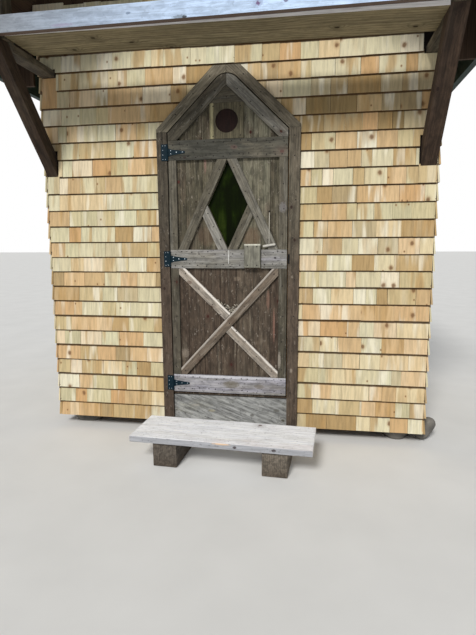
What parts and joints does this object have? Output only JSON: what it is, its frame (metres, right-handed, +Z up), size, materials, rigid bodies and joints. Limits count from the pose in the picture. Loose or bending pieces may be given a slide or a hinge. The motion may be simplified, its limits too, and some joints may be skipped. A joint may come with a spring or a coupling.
{
  "type": "wooden outhouse",
  "caption": "Small gabled wooden outhouse with board walls, a pointed ledged and braced door with a diamond window, a bracketed plank shelf and a loose step.",
  "frame": {"origin": "middle of the bounding box on the ground", "axes": "+Z up, front with the door towards -Y, +X to the right seen from the front"},
  "size_m": [2.9024, 2.7, 4.024],
  "materials": {
    "stone": "rough field stone",
    "framing": "planed softwood",
    "sheathing": "boards behind new cedar shingles",
    "old_grey_wood": "weathered grey boards",
    "roof_wood": "stained dark",
    "green_paint": "very dark green paint",
    "green_metal": "ribbed sheet, dark green",
    "dark_wood": "old dark brown timber",
    "olive_wood": "aged planks",
    "blue_grey_wood": "silvered board",
    "door_wood": "weathered grey-brown boards",
    "rail_wood": "weathered grey boards",
    "cross_wood": "weathered tan battens",
    "red_wood": "dark red-brown disc",
    "dark_glass": "pane with dark green reflections",
    "black_steel": "black japanned steel",
    "timber": "rough sawn timber",
    "step_wood": "weathered light grey plank",
    "string": "plain cotton string",
    "toggle_wood": "whittled stick"
  },
  "bodies": {
    "house": {"footing_stones": "stone", "sill_beams": "framing", "rim_boards": "framing", "floor_boards": "framing", "front_walls": "sheathing", "front_wall_over_door": "sheathing", "side_walls": "sheathing", "back_wall": "sheathing", "gable_boards": "old_grey_wood", "corner_posts": "framing", "wall_studs": "framing", "top_plates": "framing", "door_stops": "framing", "rafters": "roof_wood", "ridge_board": "roof_wood", "fascia_boards": "green_paint", "roof_decks": "roof_wood", "metal_roofing": "green_metal", "ridge_cap": "green_metal", "barge_boards": "green_paint", "bracket_arms": "dark_wood", "knee_braces": "dark_wood", "overhang_posts": "dark_wood", "overhead_planks": "olive_wood", "overhead_board": "blue_grey_wood", "door_casing": "door_wood", "door_casing_peak": "door_wood", "kick_board": "old_grey_wood", "hinge_leaves": "black_steel", "latch_strike": "black_steel", "step_timbers": "timber", "step_plank": "step_wood"},
    "door": {"door_boards": "door_wood", "door_rails": "rail_wood", "door_stiles": "door_wood", "peak_battens": "door_wood", "vent_block": "rail_wood", "vent_disc": "red_wood", "diamond_battens": "door_wood", "diamond_glass": "dark_glass", "cross_battens": "cross_wood", "hinge_straps": "black_steel", "latch_block": "rail_wood", "latch_string": "string", "latch_toggle": "toggle_wood"}
  },
  "joints": [
    {"name": "door_hinge", "type": "hinge", "parent": "house", "child": "door", "pos_m": [-0.383, -0.6518, 0.344], "axis": [0, 0, -1], "range_deg": [0, 150]}
  ]
}
